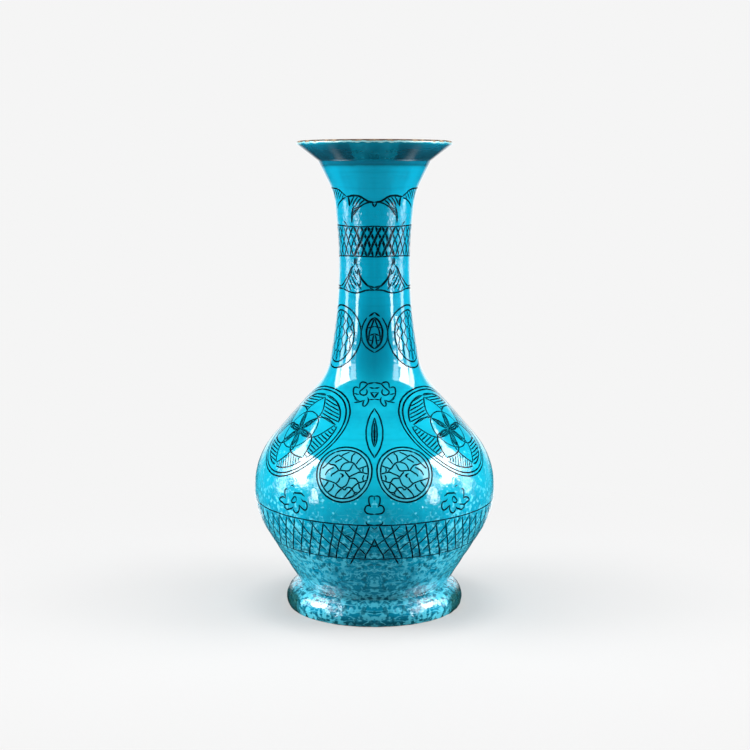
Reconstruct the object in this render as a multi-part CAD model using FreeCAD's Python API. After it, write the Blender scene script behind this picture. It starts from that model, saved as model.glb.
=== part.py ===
"""A tall-necked faience jar: fired sections, thrown apart and luted together with slip.

Every section is a ring turned about the upright axis.  The frame is in
millimetres, +Z is up, and the origin is the middle of the footprint.
The clay lies between an outer and an inner outline.  An outline is
straight runs that meet at stations, and an arc rounds off most stations.
Level seams across the wall divide it into sections, and slip fills each seam.
"""
import FreeCAD, Part
import math
import os

# --- driving dimensions, in millimetres ---------------------------------------

# foot: a bulging ring, open underneath
foot_height = 16.2          # floor to the groove above the foot
groove_radius = 51.1        # where the body meets the foot
foot_overhang = 10.3        # the foot's bulge stands out this far past the groove
foot_bulge_height = 5.4     # height of the foot's widest line
foot_tuck = 1.4             # the resting edge lies this far inside the bulge
foot_ring_width = 11.5      # resting face, measured along a radius
foot_seat_width = 12.0      # face that is luted to the body

# body: two thrown bowls, rim to rim
belly_rise = 67.3           # groove to the widest line of the belly
belly_overhang = 32.1       # the belly stands out this far past the groove
belly_bend = 55.0           # radius of the belly's round side
shoulder_rise = 78.9        # widest line to the root of the neck
floor_thickness = 9.0
floor_corner_reach = 12.0   # rounding inside, between floor and wall

# neck: a long waisted tube that opens like a trumpet
neck_radius = 21.6          # at the waist station
neck_root_flare = 10.4      # the root is this much wider than the waist
neck_lower_rise = 62.2      # root to waist
neck_upper_rise = 60.6      # waist to throat
throat_flare = 5.7          # the throat is this much wider than the waist
trumpet_rise = 21.6         # throat to the sharp corner under the rim
trumpet_flare = 10.9        # the corner is this much wider than the throat

# an arc that rounds a station starts and ends this far from it
root_reach = 11.0
waist_reach = 43.0
throat_reach = 9.5

# rim: a broad flange with a round lip
rim_rise = 13.2             # sharp corner to the top of the lip
rim_overhang = 14.4         # the lip stands out this far past the corner
lip_thickness = 3.2

# thickness of the wall at each station
groove_wall = 9.0
belly_wall = 6.0
root_wall = 6.5
waist_wall = 5.0
throat_wall = 4.6
corner_wall = 5.2

# seams
slip_thickness = 0.8        # slip between two sections
neck_seam_drop = 9.0        # the neck's seam lies this far below its root
key_depth = 2.0             # ridge under the upper bowl, in a groove round the lower one
key_share = 0.5             # width of that ridge over the thickness of the wall there

# --- places that follow from them ---------------------------------------------

belly_height = foot_height + belly_rise
root_height = belly_height + shoulder_rise
waist_height = root_height + neck_lower_rise
throat_height = waist_height + neck_upper_rise
corner_height = throat_height + trumpet_rise
jar_height = corner_height + rim_rise

bulge_radius = groove_radius + foot_overhang
resting_radius = bulge_radius - foot_tuck
belly_radius = groove_radius + belly_overhang
root_radius = neck_radius + neck_root_flare
throat_radius = neck_radius + throat_flare
corner_radius = throat_radius + trumpet_flare
mouth_radius = corner_radius + rim_overhang

underside_height = foot_height + slip_thickness
floor_height = underside_height + floor_thickness
neck_seam_height = root_height - neck_seam_drop

lip_bend = lip_thickness / 2
lip_centre = (mouth_radius - lip_bend, jar_height - lip_bend)
belly_centre = (belly_radius - belly_bend, belly_height)
past_the_wall = belly_radius + mouth_radius

parts_folder = "parts"


# --- drawing in the half plane beside the axis: a point is (radius, height) ----------

def direction(start, end):
    """Unit vector from one point to another."""
    length = math.dist(start, end)
    return ((end[0] - start[0]) / length, (end[1] - start[1]) / length)


def moved(point, along, distance):
    return (point[0] + distance * along[0], point[1] + distance * along[1])


def on_circle(centre, bend, angle):
    return (centre[0] + bend * math.cos(angle), centre[1] + bend * math.sin(angle))


def touching_angle(point, centre, bend, side):
    """Where a line from the point touches a circle, on its right (-1) or left (1)."""
    bearing = math.atan2(point[1] - centre[1], point[0] - centre[0])
    return bearing + side * math.acos(bend / math.dist(point, centre))


def crossing(a, along_a, b, along_b):
    """Where the line through a crosses the line through b."""
    across = along_a[0] * along_b[1] - along_a[1] * along_b[0]
    step = ((b[0] - a[0]) * along_b[1] - (b[1] - a[1]) * along_b[0]) / across
    return moved(a, along_a, step)


def place(point):
    return FreeCAD.Vector(point[0], 0, point[1])


def line(start, end):
    return Part.LineSegment(place(start), place(end)).toShape()


def arc(start, middle, end):
    return Part.Arc(place(start), place(middle), place(end)).toShape()


def circle_arc(centre, bend, first, last):
    """Arc of a circle from one angle to another."""
    return arc(*[on_circle(centre, bend, angle) for angle in (first, (first + last) / 2, last)])


def half_angle(before, here, after):
    """Half of the angle between the runs that meet at a station."""
    back = direction(here, before)
    ahead = direction(here, after)
    return math.acos(back[0] * ahead[0] + back[1] * ahead[1]) / 2


def outline(stations):
    """Straight runs through (radius, height, reach), rounded where the reach isn't zero."""
    edges = []
    pen = stations[0][:2]
    for before, here, after in zip(stations, stations[1:], stations[2:]):
        reach = here[2]
        back = direction(here[:2], before[:2])
        ahead = direction(here[:2], after[:2])
        start = moved(here, back, reach)
        edges.append(line(pen, start))
        pen = start
        if reach > 0:
            half = half_angle(before[:2], here[:2], after[:2])
            inward = direction((0, 0), (back[0] + ahead[0], back[1] + ahead[1]))
            crown = moved(here, inward, reach / math.cos(half) - reach * math.tan(half))
            pen = moved(here, ahead, reach)
            edges.append(arc(start, crown, pen))
    edges.append(line(pen, stations[-1][:2]))
    return edges


def inner_station(before, here, after, wall):
    """The station on the inner outline that lies a wall's thickness in from an outer one."""
    below = direction(before[:2], here[:2])
    above = direction(here[:2], after[:2])
    turn = below[0] * above[1] - below[1] * above[0]
    share = wall / (1 + below[0] * above[0] + below[1] * above[1])
    tangent = math.tan(half_angle(before[:2], here[:2], after[:2]))
    bend = here[2] * tangent - math.copysign(wall, turn)
    radius = here[0] - share * (below[1] + above[1])
    height = here[1] + share * (below[0] + above[0])
    return (radius, height, bend / tangent)


def closed(edges):
    return Part.Face(Part.Wire(edges))


def polygon(points):
    places = [place(point) for point in points]
    return Part.Face(Part.makePolygon(places + places[:1]))


def turned(face):
    """The face spun once round the axis."""
    ring = face.revolve(FreeCAD.Vector(0, 0, 0), FreeCAD.Vector(0, 0, 1), 360)
    return Part.Solid(ring.Shells[0])


# --- the wall of the jar, before it is parted -----------------------------------------

def belly_station():
    """Where the run up from the groove meets the run down from the neck, past the belly."""
    groove = (groove_radius, foot_height)
    root = (root_radius, root_height)
    low_angle = touching_angle(groove, belly_centre, belly_bend, 1)
    high_angle = touching_angle(root, belly_centre, belly_bend, -1)
    low = on_circle(belly_centre, belly_bend, low_angle)
    high = on_circle(belly_centre, belly_bend, high_angle)
    station = crossing(groove, direction(groove, low), root, direction(root, high))
    return (*station, math.dist(station, low))


def lip_angle(corner, side):
    """Where the flange's under (1) or inner (-1) face, up from its corner, touches the lip."""
    return touching_angle(corner[:2], lip_centre, lip_bend, side)


def outer_stations():
    corner = (corner_radius, corner_height, 0)
    return [
        (groove_radius, foot_height, 0),
        belly_station(),
        (root_radius, root_height, root_reach),
        (neck_radius, waist_height, waist_reach),
        (throat_radius, throat_height, throat_reach),
        corner,
        (*on_circle(lip_centre, lip_bend, lip_angle(corner, 1)), 0),
    ]


def inner_stations(outer):
    """From the middle of the floor to the lip, a wall's thickness inside the outer stations."""
    walls = [belly_wall, root_wall, waist_wall, throat_wall, corner_wall]
    inner = [inner_station(*outer[i:i + 3], wall) for i, wall in enumerate(walls)]
    groove = outer[0]
    rising = direction(groove[:2], outer[1][:2])
    heel = moved(groove, (-rising[1], rising[0]), groove_wall)
    corner = crossing(heel, direction(heel, inner[0][:2]), (0, floor_height), (1, 0))
    lip = on_circle(lip_centre, lip_bend, lip_angle(inner[-1], -1))
    return [(0, floor_height, 0), (*corner, floor_corner_reach)] + inner + [(*lip, 0)]


def lip_edges(outer_corner, inner_corner):
    """The lip, trimmed in bevels from the flange's underside out, up and over to its inner face."""
    first = lip_angle(outer_corner, 1)
    last = lip_angle(inner_corner, -1)
    outermost = 0
    top = math.pi / 2
    turns = [first, outermost, top / 2, top, last]
    points = [on_circle(lip_centre, lip_bend, turn) for turn in turns]
    return [line(start, end) for start, end in zip(points, points[1:])]


def wall_section():
    """Half section of all the clay above the foot."""
    outer = outer_stations()
    inner = inner_stations(outer)
    lip = lip_edges(outer[-2], inner[-2])
    bottom = line((0, foot_height), (groove_radius, foot_height))
    axis = line((0, floor_height), (0, foot_height))
    return closed([bottom] + outline(outer) + lip + outline(inner)[::-1] + [axis])


# --- seams ---------------------------------------------------------------------------

def level_line(height):
    return [(0, height), (past_the_wall, height)]


def keyed_line(wall, height, rise):
    """Level across the wall but for a ridge in its middle that points down."""
    cut = wall.common(line(*level_line(height))).BoundBox
    middle = (cut.XMin + cut.XMax) / 2
    half_key = cut.XLength * key_share / 2
    level = height + rise
    ridge = [(middle - half_key, level), (middle, level - key_depth), (middle + half_key, level)]
    return [(0, level)] + ridge + [(past_the_wall, level)]


def between(lower, upper):
    """The stretch of the jar between two lines across it."""
    return polygon(lower + upper[::-1])


# --- pieces ----------------------------------------------------------------------------

def bulge_arc(radius, height):
    """Arc from the foot's widest line, upright there, to a point above or below it."""
    inset = bulge_radius - radius
    climb = height - foot_bulge_height
    bend = (inset ** 2 + climb ** 2) / (2 * inset)
    centre = (bulge_radius - bend, foot_bulge_height)
    return circle_arc(centre, bend, 0, math.atan2(climb, radius - centre[0]))


def foot():
    """Ring foot with a bulging side, hollow underneath."""
    resting_inside = (resting_radius - foot_ring_width, 0)
    seat_inside = (groove_radius - foot_seat_width, foot_height)
    return turned(closed([
        line(resting_inside, (resting_radius, 0)),
        bulge_arc(resting_radius, 0),
        bulge_arc(groove_radius, foot_height),
        line((groove_radius, foot_height), seat_inside),
        line(seat_inside, resting_inside),
    ]))


def foot_seat():
    """Half section of the slip between the foot and the body."""
    inside = groove_radius - foot_seat_width
    return polygon([
        (inside, foot_height),
        (past_the_wall, foot_height),
        (past_the_wall, underside_height),
        (inside, underside_height),
    ])


def pieces():
    """Every piece of the jar by name, from the foot up."""
    wall = wall_section()
    half_slip = slip_thickness / 2
    belly = [keyed_line(wall, belly_height, rise) for rise in (-half_slip, half_slip)]
    neck = [level_line(neck_seam_height + rise) for rise in (-half_slip, half_slip)]
    rim = [level_line(corner_height + rise) for rise in (-half_slip, half_slip)]
    stretches = {
        "foot_slip": foot_seat(),
        "lower_body": between(level_line(underside_height), belly[0]),
        "belly_slip": between(*belly),
        "upper_body": between(belly[1], neck[0]),
        "neck_slip": between(*neck),
        "neck": between(neck[1], rim[0]),
        "rim_slip": between(*rim),
        "rim": between(rim[1], level_line(jar_height + lip_thickness)),
    }
    made = {name: turned(wall.common(stretch).Faces[0]) for name, stretch in stretches.items()}
    return {"foot": foot(), **made}


os.makedirs(parts_folder, exist_ok=True)
for name, piece in pieces().items():
    piece.exportStep(os.path.join(parts_folder, name + ".step"))
    print(name, "volume", round(piece.Volume), "valid", piece.isValid())
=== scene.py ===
"""A turquoise faience jar: five thrown sections, slip in their seams, and brush drawing under the glaze."""
import bisect
import bpy
from math import atan2, ceil, cos, degrees, hypot, pi, radians, sin, tau
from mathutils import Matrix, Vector, noise
from mathutils.bvhtree import BVHTree


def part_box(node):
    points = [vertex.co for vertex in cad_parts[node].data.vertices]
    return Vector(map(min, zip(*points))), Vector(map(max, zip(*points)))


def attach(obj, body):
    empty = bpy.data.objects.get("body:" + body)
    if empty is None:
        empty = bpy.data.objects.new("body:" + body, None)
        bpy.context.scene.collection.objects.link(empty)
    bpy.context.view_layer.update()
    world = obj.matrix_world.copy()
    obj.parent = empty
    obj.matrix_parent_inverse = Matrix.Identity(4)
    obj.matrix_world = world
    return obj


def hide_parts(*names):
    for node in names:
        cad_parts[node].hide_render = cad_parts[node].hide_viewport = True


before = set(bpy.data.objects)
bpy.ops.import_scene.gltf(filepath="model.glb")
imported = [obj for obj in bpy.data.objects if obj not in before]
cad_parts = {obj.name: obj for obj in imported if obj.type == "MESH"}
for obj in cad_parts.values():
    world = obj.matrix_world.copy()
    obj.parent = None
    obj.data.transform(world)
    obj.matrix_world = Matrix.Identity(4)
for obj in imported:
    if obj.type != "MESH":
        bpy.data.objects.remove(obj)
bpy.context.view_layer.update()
mm = 0.001


# --- foot ---
# A thrown ring of pale clay with a bulging side, hollow underneath, luted to the bowl.
# Glaze has run down over it and pooled unevenly; only the resting edge is wiped bare.

groove_radius = 51.1 * mm
bulge_height = 5.4 * mm
resting_tuck = 1.4 * mm
resting_width = 11.5 * mm
seat_width = 12 * mm
foot_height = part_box("foot")[1].z
bulge_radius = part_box("foot")[1].x

turning_steps = 360
glazed_row = mm  # rows of the mesh on the face that shows
hidden_row = 2.5 * mm
crease = radians(50)

wall_swell = 0.2 * mm  # slow unevenness left by the potter's hands
throwing_line = 0.04 * mm
still_height = 130 * mm  # above here the glaze lies nearly flat
lump_size = 6.5 * mm
lump_height = 0.3 * mm
still_lump_height = 0.03 * mm
foot_lump_height = 0.4 * mm


def fraction(value, low, high):
    """0 at low, 1 at high, and smooth between them."""
    share = min(max((value - low) / (high - low), 0), 1)
    return share * share * (3 - 2 * share)


def relief(spot):
    """How far the glazed face stands out here: an uneven wall, and glaze that ran and pooled."""
    wall = wall_swell * noise.noise(spot / (38 * mm))
    wall += throwing_line * noise.noise(Vector((0.3, spot.x * 9, spot.z / (3.1 * mm))))
    runny = 1 - fraction(spot.z, 30 * mm, still_height)
    on_foot = 1 - fraction(spot.z, foot_height, foot_height + 6 * mm)
    height = still_lump_height + (lump_height - still_lump_height) * runny
    height += (foot_lump_height - lump_height) * on_foot
    runs = Vector((spot.x, spot.y, spot.z * 0.7)) / lump_size
    return wall + height * (noise.noise(runs) + 0.35 * noise.noise(runs * 2.1))


def run_points(start, end, row):
    """Points from start up to, but not with, end."""
    count = max(1, ceil((end - start).length / row))
    return [start.lerp(end, i / count) for i in range(count)]


def arc_points(centre, start, end, row):
    """Points along the shorter arc from start up to, but not with, end."""
    first = atan2(start.y - centre.y, start.x - centre.x)
    last = atan2(end.y - centre.y, end.x - centre.x)
    turn = (last - first + pi) % tau - pi
    bend = (start - centre).length
    count = max(2, ceil(abs(turn) * bend / row))
    angles = [first + turn * i / count for i in range(count)]
    return [centre + bend * Vector((cos(a), sin(a))) for a in angles]


def turn_piece(name, section):
    """Turns a section, a run of (radius, height) points, about the jar's axis, and lets the
    wall swell and the glaze lie as relief says."""
    bpy.ops.object.select_all(action="DESELECT")
    bpy.ops.mesh.primitive_plane_add(size=mm, location=(0, -section[0].x, section[0].y))
    bpy.ops.object.transform_apply(location=True)
    piece = bpy.context.object
    piece.name = piece.data.name = name
    bpy.ops.object.mode_set(mode="EDIT")
    bpy.ops.mesh.merge(type="CENTER")
    for here, ahead in zip(section, section[1:]):
        step = (0, here.x - ahead.x, ahead.y - here.y)
        bpy.ops.mesh.extrude_vertices_move(TRANSFORM_OT_translate={"value": step})
    bpy.ops.mesh.select_all(action="SELECT")
    bpy.ops.mesh.remove_doubles(threshold=0.01 * mm)
    bpy.ops.mesh.select_all(action="SELECT")
    bpy.ops.mesh.spin(steps=turning_steps, angle=tau, center=(0, 0, 0), axis=(0, 0, 1))
    bpy.ops.mesh.select_all(action="SELECT")
    bpy.ops.mesh.remove_doubles(threshold=0.01 * mm)
    bpy.ops.mesh.normals_make_consistent(inside=False)
    bpy.ops.object.mode_set(mode="OBJECT")
    for vertex in piece.data.vertices:
        radius = hypot(vertex.co.x, vertex.co.y)
        if radius > mm:
            out = 1 + relief(vertex.co) / radius
            vertex.co = (vertex.co.x * out, vertex.co.y * out, vertex.co.z)
    bpy.ops.object.shade_smooth_by_angle(angle=crease)
    return piece


def bulge_centre(point):
    """Centre of the bulge's arc from the foot's widest line, upright there, to a point."""
    inset = bulge_radius - point.x
    climb = point.y - bulge_height
    return Vector((bulge_radius - (inset ** 2 + climb ** 2) / (2 * inset), bulge_height))


widest = Vector((bulge_radius, bulge_height))
resting_outside = Vector((bulge_radius - resting_tuck, 0))
resting_inside = Vector((resting_outside.x - resting_width, 0))
groove = Vector((groove_radius, foot_height))
seat_inside = Vector((groove_radius - seat_width, foot_height))
foot_section = (
    run_points(resting_inside, resting_outside, hidden_row)
    + arc_points(bulge_centre(resting_outside), resting_outside, widest, glazed_row)
    + arc_points(bulge_centre(groove), widest, groove, glazed_row)
    + run_points(groove, seat_inside, hidden_row)
    + run_points(seat_inside, resting_inside, hidden_row)
    + [resting_inside])


def srgb(*channels):
    """A colour as seen on a screen, 0 to 255, as the shader wants it."""
    shares = [channel / 255 for channel in channels]
    return tuple(s / 12.92 if s < 0.04045 else ((s + 0.055) / 1.055) ** 2.4 for s in shares) + (1,)


class Recipe:
    """The nodes of a material. Most methods add one, and return what comes out of it."""

    def __init__(self, owner):
        owner.use_nodes = True
        self.tree = owner.node_tree

    def fill(self, node, sockets):
        """Sets or links a node's sockets, by name or number."""
        for key, value in sockets.items():
            if isinstance(value, bpy.types.NodeSocket):
                self.tree.links.new(value, node.inputs[key])
            else:
                node.inputs[key].default_value = value

    def add(self, kind, sockets, **settings):
        made = self.tree.nodes.new("ShaderNode" + kind)
        for name, value in settings.items():
            setattr(made, name, value)
        self.fill(made, sockets)
        return made.outputs

    def maths(self, operation, *values):
        return self.add("Math", dict(enumerate(values)), operation=operation)[0]

    def times(self, share, *others):
        for other in others:
            share = self.maths("MULTIPLY", share, other)
        return share

    def slope(self, value, low, high, at_low, at_high, **settings):
        """From one value to another between low and high, and level beyond them."""
        return self.add("MapRange", {"Value": value, "From Min": low, "From Max": high,
                                     "To Min": at_low, "To Max": at_high}, **settings)[0]

    def rise(self, value, low, high):
        """0 below low, 1 above high."""
        return self.slope(value, low, high, 0, 1, interpolation_type="SMOOTHSTEP")

    def fall(self, value, low, high):
        """1 below low, 0 above high."""
        return self.maths("SUBTRACT", 1, self.rise(value, low, high))

    def blend(self, share, first, second):
        """Colour sockets of a Mix node are numbers 6 and 7, and its colour output is number 2."""
        return self.add("Mix", {0: share, 6: first, 7: second}, data_type="RGBA")[2]

    def ramp(self, value, stops):
        """A colour at each stop from 0 to 1."""
        outputs = self.add("ValToRGB", {"Fac": value})
        ramp = outputs[0].node.color_ramp
        ramp.interpolation = "EASE"
        ramp.elements[0].position, ramp.elements[0].color = stops[0]
        ramp.elements[1].position, ramp.elements[1].color = stops[-1]
        for place, colour in stops[1:-1]:
            ramp.elements.new(place).color = colour
        return outputs[0]

    def grain(self, spot, scale, detail, distortion=0, stretch=None):
        if stretch:
            spot = self.add("VectorMath", {0: spot, 1: stretch}, operation="MULTIPLY")[0]
        return self.add("TexNoise", {"Vector": spot, "Scale": scale, "Detail": detail,
                                     "Distortion": distortion})[0]


turquoise = srgb(2, 162, 196)
# painted light, where the jar faces up
painted_light_turquoise = srgb(12, 180, 208)
deep_turquoise = srgb(3, 128, 160)
low_turquoise = srgb(3, 156, 194)
# thick glaze in the throwing lines and specks, and painted shade on the front, the neck and the flange
thick_glaze_and_shade = srgb(2, 84, 104)
# pooled glaze at the foot's sides, and a painted contact shadow along the resting edge
pooled_glaze_and_edge_shadow = srgb(10, 64, 58)
# painted shade under the rim
flange_shade = srgb(1, 58, 74)
# painted sheen at the edges that turn away from the view
painted_edge_sheen = srgb(70, 216, 244)
# pale frost, and painted glints on the belly
frost_and_glint_colour = srgb(100, 222, 246)
# thin glaze and a painted highlight under the lip's top
thin_glaze_and_highlight = srgb(150, 214, 218)
milky_glaze = srgb(124, 212, 228)
roundel_spot = (19.7 * mm, 75.5 * mm, 106.3 * mm)
bare_clay = srgb(150, 128, 104)
worn_edge = srgb(74, 54, 40)
jar_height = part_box("rim")[1].z
glaze_ior = 1.6


def glaze_nodes(recipe):
    """Colour of the glaze, with painted light and shade in it, how bare it is and its relief, by place
    on the jar. Its two sides are alike, so places are read with x folded over."""
    rise, fall, times, maths = recipe.rise, recipe.fall, recipe.times, recipe.maths
    blend, grain = recipe.blend, recipe.grain
    x, y, z = recipe.add("SeparateXYZ", {0: recipe.add("TexCoord", {})["Object"]})
    folded_x = maths("ABSOLUTE", x)
    spot = recipe.add("CombineXYZ", {0: folded_x, 1: y, 2: z})[0]
    drift = maths("MULTIPLY_ADD", grain(spot, 55, 3), 0.005, -0.0025)
    # by height: lighter over the shoulder and the lip's top, painted light from above; dark along the
    # resting edge, a painted contact shadow; darker round the groove over the foot; and darker on and under
    # the flange, painted shade with thick glaze
    colour = recipe.ramp(maths("ADD", maths("DIVIDE", z, jar_height), drift), [
        (0.006, pooled_glaze_and_edge_shadow), (0.013, deep_turquoise), (0.03, low_turquoise), (0.046, deep_turquoise),
        (0.054, thick_glaze_and_shade), (0.066, deep_turquoise), (0.1, low_turquoise), (0.21, turquoise),
        (0.33, painted_light_turquoise), (0.47, painted_light_turquoise), (0.56, turquoise), (0.944, turquoise),
        (0.9505, thick_glaze_and_shade), (0.9555, deep_turquoise), (0.9595, thick_glaze_and_shade), (0.975, thick_glaze_and_shade),
        (0.988, deep_turquoise), (0.996, painted_light_turquoise)])
    # it ran down in soft streaks, and shows the throwing lines under it
    streaks = grain(spot, 110, 4, stretch=(1, 1, 0.12))
    colour = blend(times(rise(streaks, 0.35, 0.75), 0.35), colour, deep_turquoise)
    rings = grain(spot, 420, 2, stretch=(0.1, 0.1, 1))
    ringed = maths("MULTIPLY_ADD", fall(z, 10 * mm, 34 * mm), 0.6, 0.12)
    colour = blend(times(ringed, rise(rings, 0.48, 0.72)), colour, thick_glaze_and_shade)
    # painted shade: darker down the middle of the front and the back low down, down the middle of the lower
    # neck, and across the middle of the rim
    front_shade = times(fall(folded_x, 8 * mm, 46 * mm), fall(z, 52 * mm, 84 * mm))
    colour = blend(times(front_shade, 0.46), colour, thick_glaze_and_shade)
    neck_shade = times(rise(z, 146 * mm, 166 * mm), fall(z, 196 * mm, 222 * mm),
                      fall(folded_x, 3 * mm, 17 * mm))
    colour = blend(times(neck_shade, 0.36), colour, thick_glaze_and_shade)
    rim_shade = times(rise(z, 305 * mm, 308 * mm), fall(folded_x, 20 * mm, 44 * mm))
    colour = blend(times(rim_shade, 0.6), colour, flange_shade)
    # it is milky inside the scale roundels
    corner = recipe.add("CombineXYZ", {0: folded_x, 1: maths("ABSOLUTE", y), 2: z})[0]
    reach = recipe.add("VectorMath", {0: corner, 1: roundel_spot}, operation="DISTANCE")["Value"]
    colour = blend(times(fall(reach, 17.6 * mm, 18.6 * mm), 0.26), colour, milky_glaze)
    # it pooled thick and dark at the foot's two sides
    pooled = times(rise(folded_x, 47 * mm, 54 * mm), fall(z, 11 * mm, 17 * mm))
    colour = blend(pooled, colour, pooled_glaze_and_edge_shadow)
    # pale frost in the lower glaze: curling threads by the foot; and pale specks on the belly, partly frost
    # and partly painted glints off an uneven face, more of them towards the sides
    curls = []
    for stretch in ((1, 1, 1.2), (0.42, 0.42, 2)):
        curl = grain(spot, 175, 0.6, 0.5, stretch)
        curls.append(fall(maths("ABSOLUTE", maths("SUBTRACT", curl, 0.5)), 0.006, 0.046))
    curls = recipe.add("Mix", {0: rise(z, 22 * mm, 40 * mm), 2: curls[1], 3: curls[0]})[0]
    curls = times(curls, fall(z, 45 * mm, 92 * mm))
    plenty = recipe.slope(z, 40 * mm, 150 * mm, 0.03, -0.34)
    plenty = maths("MULTIPLY_ADD", rise(folded_x, 15 * mm, 65 * mm), 0.1, plenty)
    frost_and_glint_specks = rise(maths("ADD", grain(spot, 320, 1), plenty), 0.5, 0.66)
    frost_and_glints = maths("MAXIMUM", curls, times(frost_and_glint_specks, 0.9))
    frost_and_glints = times(frost_and_glints, 0.95, rise(grain(spot, 55, 3), 0.2, 0.48),
                  maths("MULTIPLY_ADD", pooled, -0.9, 1), maths("MULTIPLY_ADD", front_shade, -0.45, 1))
    colour = blend(frost_and_glints, colour, frost_and_glint_colour)
    dark_spots = times(rise(grain(spot, 260, 2), 0.52, 0.64), 0.75, fall(z, 50 * mm, 100 * mm))
    colour = blend(dark_spots, colour, thick_glaze_and_shade)
    # a painted sheen: pale and bright where the wall turns away from the view
    facing = recipe.add("LayerWeight", {"Blend": 0.5})["Facing"]
    turned = times(rise(facing, 0.5, 0.92), 0.6, fall(z, 286 * mm, 298 * mm), rise(z, 14 * mm, 20 * mm))
    colour = blend(turned, colour, painted_edge_sheen)
    # its face is pitted low down, and where it crawled about the neck band
    outward = times(rise(folded_x, 46 * mm, 60 * mm), fall(z, 104 * mm, 126 * mm))
    depth = maths("MULTIPLY_ADD", outward, 0.45, recipe.slope(z, 60 * mm, 112 * mm, 1, 0.08))
    crawled = times(rise(z, 216 * mm, 226 * mm), fall(z, 272 * mm, 284 * mm))
    depth = maths("MULTIPLY_ADD", crawled, 1.1, depth)
    pits = times(grain(spot, 380, 3), depth)
    normal = recipe.add("Bump", {"Height": pits, "Strength": 1, "Distance": 0.36 * mm})[0]
    # a pale band under the lip's top, partly thin glaze and partly a painted highlight; bare clay along the
    # lip's top and on the resting edge
    edge = grain(spot, 240, 4)
    from_top = maths("SUBTRACT", jar_height, z)
    worn = maths("SUBTRACT", maths("MULTIPLY_ADD", edge, 2.2 * mm, 0.15 * mm), from_top)
    colour = blend(rise(worn, -1.1 * mm, -0.5 * mm), colour, thin_glaze_and_highlight)
    resting = maths("SUBTRACT", maths("MULTIPLY_ADD", edge, 1 * mm, -0.4 * mm), z)
    bare = maths("MAXIMUM", rise(worn, -0.12 * mm, 0.12 * mm), rise(resting, -0.2 * mm, 0.2 * mm))
    clay = blend(rise(edge, 0.42, 0.62), worn_edge, bare_clay)
    return {"colour": colour, "clay": clay, "bare": bare, "normal": normal, "spot": spot}


def glossy(made):
    """What the glaze and the ink in it share: one hard, clear face."""
    return {"IOR": glaze_ior, "Coat IOR": glaze_ior, "Coat Roughness": 0.03,
            "Normal": made["normal"], "Coat Normal": made["normal"]}


turquoise_glaze = bpy.data.materials.new("turquoise_glaze")
glaze = Recipe(turquoise_glaze)
made = glaze_nodes(glaze)
rough = glaze.maths("MULTIPLY_ADD", glaze.grain(made["spot"], 180, 3), 0.1, 0.05)
glaze.fill(glaze.tree.nodes["Principled BSDF"], {
    "Base Color": glaze.blend(made["bare"], made["colour"], made["clay"]),
    "Roughness": glaze.maths("MULTIPLY_ADD", made["bare"], 0.6, rough),
    "Coat Weight": glaze.maths("SUBTRACT", 1, made["bare"]),
    **glossy(made)})


def finish_section(piece, node):
    piece.data.materials.append(turquoise_glaze)
    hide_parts(node)
    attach(piece, "root")


finish_section(turn_piece("foot_ring", foot_section), "foot")


# --- foot slip ---
# A thin bed of clay slip, which lutes the foot to the bowl. It is squeezed level
# and glazed over on the outside with the rest.

level_normal = 0.98
clay_face = bpy.data.materials.new("joint_slip")
clay = Recipe(clay_face)
place = clay.add("TexCoord", {})["Object"]
grain = clay.grain(place, 700, 4)
shade = clay.rise(clay.grain(place, 90, 3), 0.35, 0.7)
colour = clay.blend(shade, bare_clay, srgb(140, 112, 88))
clay.fill(clay.tree.nodes["Principled BSDF"], {
    "Base Color": clay.blend(clay.rise(grain, 0.6, 0.8), colour, worn_edge),
    "Roughness": 0.85,
    "Normal": clay.add("Bump", {"Height": grain, "Strength": 0.4, "Distance": 0.3 * mm})[0]})


def luted(name, section, node):
    """Turns and glazes a piece. Its level faces are seams, where the clay is bare."""
    piece = turn_piece(name, section)
    finish_section(piece, node)
    piece.data.materials.append(clay_face)
    for face in piece.data.polygons:
        if abs(face.normal.z) > level_normal:
            face.material_index = 1
    return piece


def slip_section(outer_low, outer_high, inner_high, inner_low):
    return (
        run_points(outer_low, outer_high, glazed_row)
        + run_points(outer_high, inner_high, hidden_row)
        + run_points(inner_high, inner_low, hidden_row)
        + run_points(inner_low, outer_low, hidden_row)
        + [outer_low])


underside_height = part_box("foot_slip")[1].z
lift = Vector((0, underside_height - foot_height))
seat_section = slip_section(groove, groove + lift, seat_inside + lift, seat_inside)
luted("foot_slip", seat_section, "foot_slip")


# --- lower bowl ---
# The first of two thrown bowls: a flat floor and a wall that opens out to the belly.
# Its edge has a groove round the middle, which takes the ridge of the bowl above.

# the jar's wall: straight runs between stations (radius, height, reach of the rounding)
outer_stations = [(51.1, 16.2, 0), (96.5, 89.2, 40.9), (32, 162.4, 11), (21.6, 224.6, 43),
                  (27.3, 285.2, 9.5), (38.2, 306.8, 0), (51.96, 317.12, 0)]
inner_stations = [(0, 26, 0), (46.9, 26, 12), (89, 88.5, 36.4), (25.9, 159.5, 12.9),
                  (16.6, 224.4, 43.6), (22.8, 286.5, 10.4), (34.1, 310.2, 1.2), (50.18, 319.78, 0)]
key_depth = 2 * mm
key_share = 0.5  # width of the ridge over the wall's


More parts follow.
